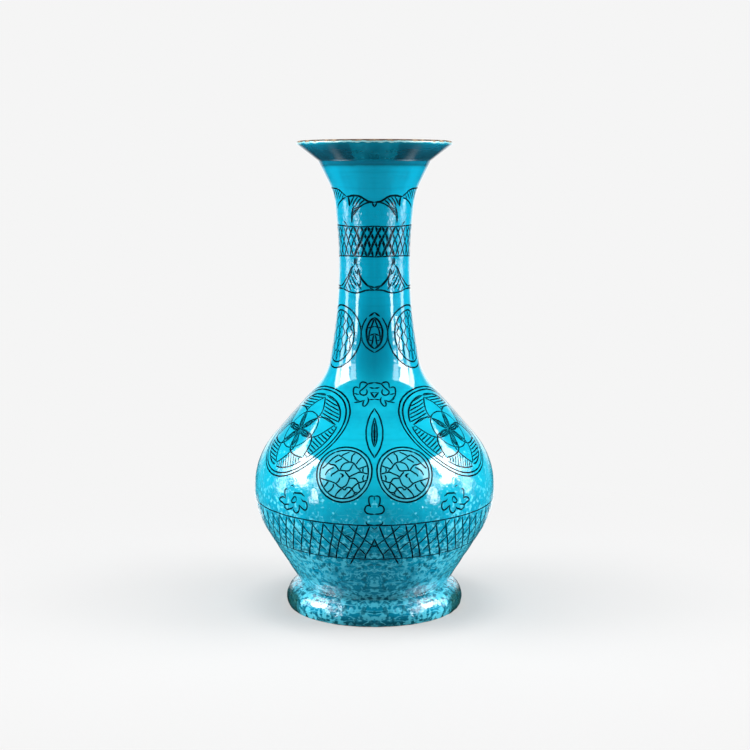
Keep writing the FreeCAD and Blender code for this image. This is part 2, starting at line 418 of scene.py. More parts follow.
def outline(stations, row):
    """Points along the runs through the stations, with an arc at each that has a reach."""
    corners = [Vector(station[:2]) * mm for station in stations]
    points = []
    pen = corners[0]
    for before, corner, after, station in zip(corners, corners[1:], corners[2:], stations[1:]):
        reach = station[2] * mm
        back = (before - corner).normalized()
        ahead = (after - corner).normalized()
        start = corner + back * reach
        points += run_points(pen, start, row)
        pen = start
        if reach > 0:
            centre = corner + (back + ahead).normalized() * reach / cos(back.angle(ahead) / 2)
            pen = corner + ahead * reach
            points += arc_points(centre, start, pen, row)
    return points + run_points(pen, corners[-1], row) + [corners[-1]]


outside = outline(outer_stations, glazed_row)
inside = outline(inner_stations, hidden_row)


def point_at(points, height):
    """Where a wall's outline crosses a height."""
    for below, above in zip(points, points[1:]):
        if below.y <= height < above.y:
            return below.lerp(above, (height - below.y) / (above.y - below.y))


def stretch(points, low, high):
    """The part of an outline between two heights, upwards, with both its ends."""
    least = 0.05 * mm
    inner = [point for point in points if low + least < point.y < high - least]
    return [point_at(points, low)] + inner + [point_at(points, high)]


def seam_line(height, drop):
    """A seam's points from the outer face to the inner, with the key's groove dropped."""
    outer, inner = point_at(outside, height), point_at(inside, height)
    if drop == 0:
        return run_points(outer, inner, hidden_row) + [inner]
    middle = (outer + inner) / 2
    half_key = (outer - inner) * key_share / 2
    return [outer, middle + half_key, middle - Vector((0, drop)), middle - half_key, inner]


belly_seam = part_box("lower_body")[1].z
belly_seam_top = belly_seam + underside_height - foot_height
floor_height = inner_stations[0][1] * mm

bowl_outside = [Vector((groove_radius, underside_height))]
bowl_outside += [p for p in outside if underside_height < p.y < belly_seam]
bowl_inside = [Vector((0, floor_height))] + [p for p in inside[1:] if p.y < belly_seam]
lower_section = (
    run_points(Vector((0, underside_height)), bowl_outside[0], hidden_row)
    + bowl_outside
    + seam_line(belly_seam, key_depth)
    + bowl_inside[::-1])
lower_bowl = luted("lower_bowl", lower_section, "lower_body")


# --- belly slip ---
# The slip between the two bowls, at the jar's widest line. It follows the ridge and
# the groove, so the bowls can't slide on each other.

def seam_ring(low, high, drop):
    """Closed section of the slip that fills a seam."""
    return seam_line(low, drop) + seam_line(high, drop)[::-1] + [point_at(outside, low)]


belly_ring = seam_ring(belly_seam, belly_seam_top, key_depth)
belly_slip = luted("belly_slip", belly_ring, "belly_slip")


# --- upper bowl ---
# The second bowl, turned over onto the first: it closes in over the shoulder towards
# the neck. Its lower edge has the ridge that keys into the bowl below.

neck_seam, neck_seam_top = (corner.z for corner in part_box("neck_slip"))


def wall_section(low, low_drop, high):
    """Closed section of the wall between two seams."""
    return (
        seam_line(low, low_drop)[::-1]
        + stretch(outside, low, high)[1:-1]
        + seam_line(high, 0)
        + stretch(inside, low, high)[1:-1][::-1]
        + [point_at(inside, low)])


upper_section = wall_section(belly_seam_top, key_depth, neck_seam)
upper_bowl = luted("upper_bowl", upper_section, "upper_body")


# --- neck slip ---
# A level bed of clay slip between the shoulder and the neck. It was wiped flush while
# wet, and the glaze hides it.

neck_slip = luted("neck_slip", seam_ring(neck_seam, neck_seam_top, 0), "neck_slip")


# --- neck ---
# A long tube thrown by itself, waisted in the middle. It spreads at its root, where it is
# luted to the shoulder, and opens like a trumpet under the rim.

rim_seam, rim_seam_top = (corner.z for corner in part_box("rim_slip"))
neck = luted("neck_tube", wall_section(neck_seam_top, 0, rim_seam), "neck")


# --- rim slip ---
# The bed of clay slip that holds the rim, at the sharp line where the trumpet turns into
# the flange. It is level, and glazed over.

luted("rim_slip", seam_ring(rim_seam, rim_seam_top, 0), "rim_slip")


# --- rim ---
# A broad thrown flange of the same clay with a round lip. Its glaze is painted darker under it, as
# shade and thick glaze, and is worn through to the clay along the lip's top.

lip_centre = Vector((51, 318.4)) * mm
lip_row = 0.3 * mm
lip_start, lip_end = outside[-1], inside[-1]
rim_section = (
    seam_line(rim_seam_top, 0)[::-1]
    + [p for p in outside if rim_seam_top < p.y < lip_start.y]
    + arc_points(lip_centre, lip_start, lip_end, lip_row)
    + [p for p in inside if p.y > rim_seam_top][::-1]
    + [point_at(inside, rim_seam_top)])
luted("rim_flange", rim_section, "rim")


# --- hatched belt ---
# The drawing is brushed in manganese black on the body before it is glazed, so it is
# sealed in. First the belt under the belly: two lines round the jar, steep strokes
# between them, and slanting ones that cross them.

stroke_step = 1.1 * mm
ink_lift = 0.03 * mm  # the ink thickens the glaze a little
ink_depth = 0.16 * mm
# widths and points of strokes are in millimetres
plain = 1.35
fine = 1.1
bold = 1.8
netted = 1.2
hand_shake = 0.16
front_and_back = (0, 180)
sides = (1, -1)
quarters = [(turn, side) for turn in front_and_back for side in sides]

wall_runs = [0]
for below, above in zip(outside, outside[1:]):
    wall_runs.append(wall_runs[-1] + (above - below).length)


def wall_at(run):
    """The outer face's (radius, height) at a distance up the wall from the groove."""
    last = len(outside) - 2
    index = min(max(bisect.bisect_right(wall_runs, run) - 1, 0), last)
    share = (run - wall_runs[index]) / (wall_runs[index + 1] - wall_runs[index])
    return outside[index].lerp(outside[index + 1], share)


def run_to(height):
    """Distance up the wall from the groove to a height."""
    heights = [point.y for point in outside]
    index = bisect.bisect_right(heights, height) - 1
    share = (height - heights[index]) / (heights[index + 1] - heights[index])
    return wall_runs[index] + share * (wall_runs[index + 1] - wall_runs[index])


corners, faces = [], []
for piece in (lower_bowl, belly_slip, upper_bowl, neck_slip, neck):
    first = len(corners)
    corners += [vertex.co.copy() for vertex in piece.data.vertices]
    faces += [[first + index for index in face.vertices] for face in piece.data.polygons]
glazed_face = BVHTree.FromPolygons(corners, faces)


def on_glaze(turn, run):
    """The spot on the glazed face at a turn about the axis and a distance up the wall."""
    wall = wall_at(run)
    out = Vector((sin(turn), -cos(turn), 0))
    spot, normal, *_ = glazed_face.ray_cast(out * wall.x * 1.2 + Vector((0, 0, wall.y)), -out)
    return spot + normal * ink_lift


def flowing(points, row=0.6):
    """A smooth line through a few points, as a hand draws it."""
    line = [Vector(point) for point in points]
    ends = [2 * line[0] - line[1]] + line + [2 * line[-1] - line[-2]]
    smooth = []
    for before, here, ahead, after in zip(ends, ends[1:], ends[2:], ends[3:]):
        count = max(1, ceil((ahead - here).length / row))
        for i in range(count):
            s = i / count
            smooth.append(0.5 * (2 * here + (ahead - before) * s
                                 + (2 * before - 5 * here + 4 * ahead - after) * s ** 2
                                 + (3 * here - before - 3 * ahead + after) * s ** 3))
    return smooth + [line[-1]]


def ring(centre, across, up, start=0, end=360):
    """A round or oval line about a centre, from one angle to another, in degrees."""
    count = max(8, ceil(abs(end - start) / 6))
    angles = [radians(start + (end - start) * i / count) for i in range(count + 1)]
    return [(centre[0] + across * cos(a), centre[1] + up * sin(a)) for a in angles]


class Brush:
    """Lays strokes on the glaze about a place, and joins them into one piece."""

    def __init__(self, name):
        self.name = name
        self.strips = []

    def stroke(self, points, place, side=1, width=plain, taper=True):
        """A stroke through points, to the right of and above a place (degrees, run), in
        millimetres. Side -1 draws it in mirror."""
        line = flowing(points)
        lengths = [0]
        for here, ahead in zip(line, line[1:]):
            lengths.append(lengths[-1] + (ahead - here).length)
        whole = lengths[-1]
        count = max(3, ceil(whole * mm / stroke_step))
        bpy.ops.mesh.primitive_grid_add(x_subdivisions=count, y_subdivisions=2, size=1)
        strip = bpy.context.object
        ink = strip.data.attributes.new("ink", "FLOAT", "POINT").data
        seed = points[0][0] * 1.7 + points[-1][1] * 2.3
        for vertex in strip.data.vertices:
            along = (vertex.co.x + 0.5) * whole
            across = vertex.co.y * 2
            index = min(bisect.bisect_right(lengths, along), len(line) - 1)
            here, ahead = line[index - 1], line[index]
            share = (along - lengths[index - 1]) / (lengths[index] - lengths[index - 1])
            heading = (ahead - here).normalized()
            aside = Vector((-heading.y, heading.x))
            shake = hand_shake * noise.noise(Vector((along / 4.5, seed, 0)))
            swell = 1 + 0.22 * noise.noise(Vector((along / 3.2, seed, 7)))
            if taper:
                swell *= 0.35 + 0.65 * fraction(min(along, whole - along), 0, 1.8)
            spot = here.lerp(ahead, share) + aside * (shake + side * across * width * swell / 2)
            run = place[1] + spot.y * mm
            turn = radians(place[0]) + side * spot.x * mm / wall_at(run).x
            vertex.co = on_glaze(turn, run)
            ink[vertex.index].value = 1 - abs(across)
        self.strips.append(strip)

    def strokes(self, lines, place, side=1, width=plain, taper=True):
        """Several strokes. One that starts with a number is drawn that wide instead."""
        for line in lines:
            if isinstance(line[0], tuple):
                self.stroke(line, place, side, width, taper)
            else:
                self.stroke(line[1:], place, side, line[0], taper)

    def dry(self):
        """Joins the strokes, and gives them the thickness of the ink."""
        bpy.ops.object.select_all(action="DESELECT")
        for strip in self.strips:
            strip.select_set(True)
        bpy.context.view_layer.objects.active = self.strips[0]
        bpy.ops.object.join()
        piece = bpy.context.object
        piece.name = piece.data.name = self.name
        bpy.ops.object.transform_apply(location=True)
        bpy.ops.object.modifier_add(type="SOLIDIFY")
        skin = piece.modifiers[-1]
        skin.thickness, skin.offset = ink_depth, -1
        bpy.ops.object.modifier_apply(modifier=skin.name)
        bpy.ops.object.shade_smooth_by_angle(angle=crease)
        piece.data.materials.append(underglaze_line)
        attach(piece, "root")


manganese_black = srgb(2, 16, 22)
thin_ink = srgb(2, 48, 60)

underglaze_line = bpy.data.materials.new("underglaze_line")
ink = Recipe(underglaze_line)
made = glaze_nodes(ink)
# the ink bleeds into the glaze at a stroke's edges, and is thin in places
bleed = ink.grain(made["spot"], 800, 3)
load = ink.grain(made["spot"], 130, 2)
body = ink.add("Attribute", {}, attribute_name="ink")["Fac"]
body = ink.maths("ADD", body, ink.maths("MULTIPLY_ADD", bleed, 0.5, -0.25))
black = ink.blend(ink.rise(load, 0.42, 0.72), manganese_black, thin_ink)
gloss = ink.slope(body, 0.02, 0.32, 1, 0.12)
ink.fill(ink.tree.nodes["Principled BSDF"], {
    "Base Color": ink.blend(ink.rise(body, 0.02, 0.32), made["colour"], black),
    "Roughness": 0.1,
    "Coat Weight": gloss,
    "Specular IOR Level": ink.times(gloss, 0.5),
    **glossy(made)})

belt_middle = run_to(61 * mm)
steep_count, steep_spacing = 13, 7.5
slant_count, slant_spacing = 11, 9.2
belt_steeps = [
    [(-3, 14), (-6.4, 4.4), (-9.2, -1.8), (-11.4, -6.2), (-13.4, -12), (-15.8, -18.6)],
    [(0.3, 4.6), (-2, -1), (-4.2, -6.4), (-5.6, -9.6), (-6.2, -13.4)],
    [(-10.7, 14.4), (-12.2, 9.4), (-13.8, 3), (-15.1, -2.2), (-16.4, -6.4), (-18.6, -13.8)],
    [(-20.3, 14.4), (-21.3, 9), (-22.9, 2.8), (-24.1, -3.2), (-25, -8), (-25.6, -14.6)]]
for i in range(steep_count):
    top = -26.6 - steep_spacing * i
    belt_steeps.append([(top, 14.6), (top - 1, 7), (top - 2.1, 1), (top - 3.2, -5.4),
                        (top - 4, -11), (top - 4.4, -14.4 + 1.2 * sin(2.3 * i))])
belt_slants = [
    [(-17.2, 14.2), (-12.4, 9.4), (-6.9, 4.4), (-2, 0.2), (2.2, -2.4)],
    [(-27, 14.4), (-21.6, 8.2), (-15, 2), (-10, -3.4), (-5.4, -9.2)],
    [(-19.2, 7), (-15.8, 5.2), (-13.2, 2.6)]]
for i in range(slant_count):
    top = -34.6 - slant_spacing * i
    belt_slants.append([(top, 14.4), (top + 6.2, 7.2), (top + 11, 2.2), (top + 16, -2.6),
                        (top + 20.4, -7.6)])
belt_lines = [[(x, 14.2 + 2.2 * sin(x / 78) ** 2) for x in range(-129, 3, 3)],
              [(x, -13.2 + 1.8 * sin(x / 70) ** 4) for x in range(-113, 3, 3)]]
belt_marks = (
    ((-5.4, 17.2), (-5, 15.4), (-3, 14.7), (0, 14.4)),
    (fine, (-1.9, 13.4), (-0.9, 12.2), (0, 11.6)))
belt = Brush("belt_drawing")
for turn, side in quarters:
    place = (turn, belt_middle)
    belt.strokes(belt_lines, place, side, fine, taper=False)
    belt.strokes(belt_steeps, place, side)
    belt.strokes(belt_slants, place, side, fine)
    belt.strokes(belt_marks, place, side)
belt.dry()


# --- flowers on the belly ---
# Between belt and roundels: a three-lobed bud in the middle, and a loose open flower
# either side, each outlined with a few quick strokes.

flowers = Brush("belly_flower_drawing")
bud_place = run_to(88 * mm)
flower_place = run_to(85 * mm)
flower_turn = 38.7
bud_strokes = (
    ((0, 5.8), (2.2, 5.9), (3.5, 4.9), (3.6, 2.6), (3.1, 0.6), (2.2, -1.2)),
    ((2.2, -1.3), (3.2, -0.2), (5, -0.3), (6.1, -1.8), (6.1, -3.6), (5, -5), (2.5, -5.6), (0, -5.7)),
    (fine, (0, 5.6), (0.2, 4.4), (0.1, 3.4)))
blossom_strokes = (
    ((-5.4, 4), (-7, 2.5), (-9.5, 2.2), (-10.3, 0.4), (-10.2, -1.7), (-9, -3.2), (-7, -2.8), (-5, -1.5),
     (-3.6, -0.3)),
    ((-3.6, -0.3), (-3.8, -2.5), (-3.3, -4.6), (-2, -5.9), (-0.5, -6.2), (1, -4.8), (1.4, -3.4)),
    ((1.2, -2.3), (2.5, -3.5), (4.5, -4.2), (6.5, -5), (8, -4.6), (9.6, -3.5), (8.8, -2)),
    ((4.6, -1), (7, -1.6), (9.5, -1.9), (11.2, -1.2), (13.5, -0.3), (14.5, 0.7), (13, 2.1), (11, 2.9),
     (9.5, 2.7), (8.2, 2.2)),
    ((8.2, 2), (8.9, 4), (9.5, 6.5), (9.3, 8.1), (8.2, 8.7), (6.8, 8.6)),
    ((-8.2, 5.7), (-6.5, 6.6), (-5, 7.4), (-1, 7.1), (1.1, 6.9), (1.2, 5.6)),
    ((-1.5, 2), (-1.2, 4), (0.1, 4.7), (1.6, 3.2), (2.8, 1.3), (1.8, 0.4), (0, 0.6), (-1.3, 1.8)),
    ((1.8, 10.9), (3, 11.4), (4.2, 11.2)))
for turn, side in quarters:
    flowers.strokes(bud_strokes, (turn, bud_place), side)
    flowers.strokes(blossom_strokes, (turn + side * flower_turn, flower_place), side)
flowers.dry()


# --- scale roundels ---
# A pair of discs low on the shoulder, brushed in the same black: a double ring filled
# with a loose net, like scales.

roundels = Brush("scale_roundel_drawing")
roundel_turn = 14.6
roundel_place = 99.7 * mm
roundel_middle = (0.4, 0.4)
roundel_rings = (18.5, 16.2)
scale_lines = (
    ((5.5, 12.9), (2.9, 11.6), (0.4, 10), (-2.6, 8.3), (-4.4, 8.1), (-6.6, 6.6), (-8.8, 4), (-11.5, 4.8),
     (-14.5, 6)),
    ((11.4, 6.8), (9.5, 5.9), (7, 5.7), (5.1, 4), (3.7, 2.3)),
    ((3.7, 2.3), (0.4, 2.3), (-2.9, 2.3), (-4, 3.5), (-5.1, 6.6), (-6.6, 7)),
    ((16, -3.6), (13.6, -4.2), (10.3, -4.9), (7.7, -5.5), (4.8, -6.4), (2.9, -7.9), (0.4, -9.2),
     (-1.5, -10.3)),
    ((-1.5, -10.3), (-2.9, -8.6), (-5.1, -8.6), (-6.2, -9.4), (-8.1, -11.6), (-10.6, -11.4)),
    ((-0.7, 1.4), (-3.3, -1.2), (-4, -2.5), (-6.6, -2.5), (-8.4, -2.9), (-10.3, -5.1), (-13, -4.4),
     (-15.8, -3.4)),
    ((-4, -1.6), (-5.9, -0.3), (-7.7, 0.5), (-10.3, 1.8), (-13, 1.2), (-15.8, 0.6)),
    ((-4, -2.5), (-3.3, -5.1), (-2.2, -7.3), (0.4, -9)),
    ((-10.3, -5.1), (-8.1, -6.8), (-6.2, -9.4), (-4.4, -11.6), (-1.8, -14.6), (-0.9, -15.7)),
    ((0.4, -9.2), (2.6, -11.6), (4, -13.3), (4.6, -14.8)),
    ((6.2, -6.8), (6.6, -9), (8.4, -11.2), (10.2, -12.4)),
    ((9.9, -5.5), (11.7, -8.1), (13, -9.4)),
    ((12.5, -1.6), (11.7, 0.5), (10.3, 2.3), (7.3, 4)),
    ((8.4, -2.1), (8.1, -0.8), (6.2, 0.5), (4, 2.3)),
    ((15.2, 2.7), (13.2, 4.8), (11.4, 7), (9.4, 9.6), (7.6, 11.2), (5.5, 12.9)),
    ((7, 7.4), (4.4, 9.2), (2.6, 10.4)),
    ((2.6, 2.7), (2.2, 4.8), (0.7, 7), (-2.6, 8.3)),
    ((3.3, 12.2), (1.8, 13.5), (-1.5, 15.4)),
    ((-3.7, 8.7), (-3.7, 10.9), (-4, 13.1), (-5.5, 14.6)),
    ((-7.3, 7), (-8.4, 9.2), (-9.9, 11.6)),
    ((-8.8, 4), (-10.3, 2.7), (-10.4, 1.8)),
    ((2.2, -2.5), (3, -4.7), (4.4, -6)),
    ((-8.2, -11.6), (-7.4, -13.2), (-7.6, -14.2)),
    ((-10.3, -5.4), (-10.9, -8.4), (-12.4, -9.8)),
    ((-12.6, 5.2), (-12, 3), (-13, 1.2)),
    ((-13.2, -0.2), (-12.6, -2.4), (-13.4, -4.2)))
for turn, side in quarters:
    place = (turn + side * roundel_turn, roundel_place)
    for radius in roundel_rings:
        roundels.stroke(ring(roundel_middle, radius, radius, 60, 424), place, side)
    roundels.strokes(scale_lines, place, side, netted, taper=False)
    roundels.stroke([(2.6, 0.1), (1.1, -0.2), (0.3, -1.6), (1.8, -2.2)], place, side, bold)
roundels.dry()


# --- rosettes ---
# Large compass-drawn discs on the shoulder: a double ring, six wide petals over six
# thin dark ones, and the gaps between the wide petals hatched.

rosettes = Brush("rosette_drawing")
rosette_turn = 54.2
rosette_place = 127.7 * mm
rosette_rings = (35.3, 33)
inner_ring = 14.6
wide_petal_turns = (35, 97, 165, 226, 279, 337)
thin_petal_turns = (6, 63, 131, 197, 254, 310)
wide_petal = (27.6, 8.2)  # reach and half width
thin_petal = (13.4, 1.7)
vein_reach = 0.85 * thin_petal[0]
spandrel_reach = 29.4
hatch_turns = (-4, 18, 27, 62, 8, 88)  # slant of the hatching after each wide petal
hatch_spacing = 2.2


def towards(turn):
    """A step of 1 at a turn, in degrees from the right, and a step of 1 to its left."""
    ahead = Vector((cos(radians(turn)), sin(radians(turn))))
    return ahead, Vector((-ahead.y, ahead.x))


def petal(turn, reach, half):
    """The left and the right side of a petal, each from the middle to the tip."""
    tip, aside = towards(turn)
    return [[tuple(tip * reach * i / 8 + aside * bow * half * sin(pi * i / 8))
             for i in range(9)] for bow in sides]


def in_petal(spot, turn):
    tip, aside = towards(turn)
    reach, half = wide_petal
    along = spot.dot(tip)
    return 0 < along < reach and abs(spot.dot(aside)) < half * sin(pi * along / reach) + 0.4


def hatching(turn, next_turn, slant):
    """Parallel strokes that fill the gap between two wide petals, inside the rings."""
    along, aside = towards(slant)
    lines = []
    for row in range(-15, 16):
        inside_gap = []
        for i in range(-62, 63):
            spot = along * i * 0.5 + aside * row * hatch_spacing
            bearing = (degrees(atan2(spot.y, spot.x)) - turn) % 360
            in_gap = bearing < (next_turn - turn) % 360 and inner_ring < spot.length < spandrel_reach
            if in_gap and not in_petal(spot, turn) and not in_petal(spot, next_turn):
                inside_gap.append(spot)
        if inside_gap and (inside_gap[-1] - inside_gap[0]).length > 2:
            start, end = inside_gap[0], inside_gap[-1]
            lines.append([tuple(start), tuple((start + end) / 2), tuple(end)])
    return lines


next_turns = wide_petal_turns[1:] + wide_petal_turns[:1]
for turn, side in quarters:
    place = (turn + side * rosette_turn, rosette_place)
    for radius in rosette_rings:
        rosettes.stroke(ring((0, 0), radius, radius, 100, 463), place, side)
    rosettes.stroke(ring((0, 0), inner_ring, inner_ring, 10, 372), place, side, fine)
    for petal_turn in wide_petal_turns:
        rosettes.strokes(petal(petal_turn, *wide_petal), place, side)
    for petal_turn in thin_petal_turns:
        rosettes.strokes(petal(petal_turn, *thin_petal), place, side, bold)
        rosettes.stroke(petal(petal_turn, vein_reach, 0)[0], place, side, fine)
    for petal_turn, next_turn, slant in zip(wide_petal_turns, next_turns, hatch_turns):
        first, last = petal_turn + 3, petal_turn + (next_turn - petal_turn) % 360 - 3
        rosettes.stroke(ring((0, 0), spandrel_reach, spandrel_reach, first, last), place, side)
        rosettes.strokes(hatching(petal_turn, next_turn, slant), place, side, fine)
rosettes.dry()


# --- shoulder leaf and curled flower ---
# Down the middle of the shoulder: a long pointed leaf with a dark core, and over it a
# flower whose petals curl out either side, just under the neck.

leaf = Brush("shoulder_leaf_drawing")
leaf_place = 130 * mm
curl_place = 160.1 * mm
leaf_strokes = (
    ((0, 19), (2.9, 13.2), (4.7, 7), (5.5, 0.4), (5, -6), (3.3, -12.2), (0, -19)),
    ((0, 11.6), (1.1, 6.6), (1.7, 1), (1.5, -4.6), (0.8, -8.4), (0, -10.8)))
curl_strokes = (
    ((0, 8.6), (3, 8.1), (4.9, 7.2), (6.4, 5.2), (8.4, 3.2), (9.8, 1.6), (9.4, -0.2), (7.6, -1.1),
     (5.6, -0.5), (4.8, 1.4), (5.4, 3.8)),
    ((4.2, 7.4), (6, 8.6), (8.2, 8.8), (9.6, 7.6), (9.9, 5.2), (10.6, 4.1)),
    ((10.3, 4.2), (12.4, 5.2), (14.1, 4.3), (14.4, 1.4), (14, -1.4), (12.8, -3.4), (11.4, -4.8)),
    ((10.2, -0.6), (12.4, -0.4), (13.9, 0.4)),
    ((13.6, -3.4), (12.2, -5), (10, -5.2)),
    ((13.8, -7.2), (11.4, -6.6), (8.8, -6), (6.9, -4.9)),
    ((4.6, -2.5), (3.9, -4.6), (4.4, -7), (5.8, -9.2), (7.2, -9.9), (7.7, -8.2), (7.2, -6.2), (6.5, -4.7)),
    ((0, -4.2), (2.2, -4.3), (4.2, -4.7)),
    (bold, (0, 4.5), (1.6, 4.5), (3.4, 5)),
    (bold, (2.7, 1.5), (1.3, -0.9), (0, -3.2)),
    ((2.6, 1.1), (1, 1), (0, 0.8)))
for turn in front_and_back:
    for side in sides:
        leaf.strokes(leaf_strokes, (turn, leaf_place), side)
        leaf.strokes(curl_strokes, (turn, curl_place), side)
    leaf.stroke([(0, 7.6), (0.1, 0), (0, -9)], (turn, leaf_place), width=bold)
leaf.dry()


# --- leaves and roundels on the neck ---
# Round the foot of the neck three veined sprigs stand between three tall discs, which
# are filled with a branching net.

discs = Brush("neck_disc_drawing")
disc_place = run_to(190 * mm)
sprig_place = run_to(192 * mm)
disc_turns = (60, 180, 300)
sprig_turns = (0, 120, 240)
sprig_strokes = (
    (bold, (0, 14.5), (1.8, 13.2), (3.7, 11.8)),
    ((5, 11), (7, 7.7), (8.7, 3.6), (9.1, 0), (8.3, -4.8), (5.6, -8.7), (2.6, -11), (0, -12.5)),
    (bold, (0, 11.2), (2.6, 9), (4.6, 5.4), (5.4, 1), (4.8, -4), (3, -7.5), (0, -9.9)),
    ((0, 10.6), (1.1, 7.6), (2.1, 4.8), (3.2, 2.2), (3.7, -1), (3.9, -4.4)),
    ((0, 5), (1.2, 4.9), (2.4, 4.5), (4.9, 4)),
    ((0, 0.4), (1.4, -0.2), (3.2, -1)),
    ((0.3, -0.4), (1, -2.4), (1.3, -5.2), (1.9, -8)),
    ((0.9, -4.4), (2.4, -4.3), (4, -3.8)))
disc_net = (
    ((0, 16.4), (1.2, 12.5), (-0.8, 9), (1.4, 5.5), (-0.9, 2), (1.3, -2), (-1.2, -6), (1, -10),
     (-0.6, -14), (0, -17.6)),
    ((4.2, 16.2), (3, 13), (5.4, 9.6), (3.4, 6), (5.8, 2), (3.6, -2.4), (5.6, -7), (3.8, -11.5),
     (4.8, -16)),
    ((8.4, 13.8), (7, 10.5), (9.2, 7), (7.2, 3), (9.6, -1), (7.6, -5), (9, -9), (8, -13.4)),
    ((11.8, 9.6), (10.8, 6), (12.6, 2.4), (11, -1.6), (12.2, -5.6), (11.4, -10)),
    ((1.2, 12.5), (3, 13)), ((1.4, 5.5), (3.4, 6)), ((1.3, -2), (3.6, -2.4)), ((1, -10), (3.8, -11.5)),
    ((5.4, 9.6), (7, 10.5)), ((5.8, 2), (7.2, 3)), ((5.6, -7), (7.6, -5)), ((9.2, 7), (10.8, 6)),
    ((9.6, -1), (11, -1.6)), ((9, -9), (11.4, -10)), ((12.6, 2.4), (14.2, 3)), ((12.2, -5.6), (13.8, -6)))
for turn in sprig_turns:
    for side in sides:
        discs.strokes(sprig_strokes, (turn, sprig_place), side)
for turn in disc_turns:
    place = (turn, disc_place)
    discs.stroke(ring((0, -1), 19.6, 21.4, 30, 393), place)
    discs.stroke(ring((0, -0.6), 14.4, 17.6, 200, 563), place)
    for side in sides:
        discs.strokes(disc_net, place, side, fine)
discs.dry()


# --- panels under the neck band ---
# Four round-ended panels are left plain between hatched wedges, which hang from the
# band on a thick stem. A loose double line ties them below.

panels = Brush("panel_drawing")
panel_place = run_to(230 * mm)
stem = 2.4
panel_strokes = (
    (bold, (0, -6.9), (1.8, -6.8), (4, -6.2), (5.5, -5), (7.5, -2.8), (9, -1), (10.4, 2),
     (11.2, 5.6)),
    ((0, -9), (3, -8.8), (6, -9.1), (9, -10.1), (13, -10.9), (18, -10.4), (22, -9.4), (26, -8.4)),
    ((4, -6.2), (2.4, -7.8), (0, -8.9)),
    (stem, (13.8, 12.6), (13.7, 10.2), (14, 7.6)),
    (fine, (12.2, 12.8), (12.5, 9), (11.6, 5.8)),
    (bold, (11.8, 4.6), (11.8, 2.8), (11.2, 1)),
    (bold, (14.6, 7.4), (16.6, 5.4), (18.4, 2.2), (20.4, -1)),
    ((20.4, -0.4), (23, -3.2), (25.6, -5.6), (28.6, -6.9)),
    ((15.8, 4.6), (18, 0.6), (20, -2.6), (22.4, -5.8), (25, -8.6)),
    ((28, -6.9), (32, -7.2), (36, -6.9), (39, -6.9)),
    ((25, -8.6), (30, -8.6), (35, -8.9), (39, -8.9)),
    (fine, (14.2, 5.4), (13.4, 3.6), (12.4, 1.6)),
    ((15.4, 3), (14.2, 0.4), (12.2, -2.4)),
    ((16.8, 0.8), (15, -2.8), (12.2, -6.4)),
    ((18.4, -1.4), (16.6, -4.8), (14, -8.4)),
    ((20, -3.8), (18.6, -6.6), (16.8, -9.6)),
    ((12.4, -3.6), (10.8, -5.8), (9, -8.6)),
    (fine, (22.2, -6.6), (21.2, -8), (20.4, -9.4)),
    ((9.9, -1.6), (9.6, -4.2), (10.6, -7)))
for turn, side in quarters:
    panels.strokes(panel_strokes, (turn, panel_place), side)
panels.dry()


# --- neck band ---
# A band brushed round the narrowest part of the neck: crossed strokes between two lines,
# and bolder ones in the middle of the front and the back.

band = Brush("neck_band_drawing")
band_place = run_to(253 * mm)
band_crossings = 32
band_lines = ([(x, 10.6 - 0.3 * sin(x / 7)) for x in range(0, 40, 3)],
              [(x, -9.7 + 0.4 * sin(x / 9)) for x in range(0, 40, 3)])
middle_width = 2.3
middle_turn = 23  # in degrees from the front or the back
for turn, side in quarters:
    band.strokes(band_lines, (turn, band_place), side, fine, taper=False)
for i in range(band_crossings):
    turn = 360 / band_crossings * (i if i <= band_crossings / 2 else band_crossings - i)
    side = 1 if i <= band_crossings / 2 else -1
    lean = 0.5 * sin(turn * 0.21)
    points = [(-4.6 + lean, 10.6), (-2.2, 5.6), (0.2 + lean, 0.6), (2.3, -4.4), (4.4 - lean, -9.7)]
    width = middle_width if turn < middle_turn or turn > 180 - middle_turn else plain
    for way in sides:
        band.stroke(points, (side * turn, band_place), side * way, width)
band.dry()


# --- swags ---
# Under the trumpet a brushed garland hangs in scallops, with hatched crescents and
# short tassels.

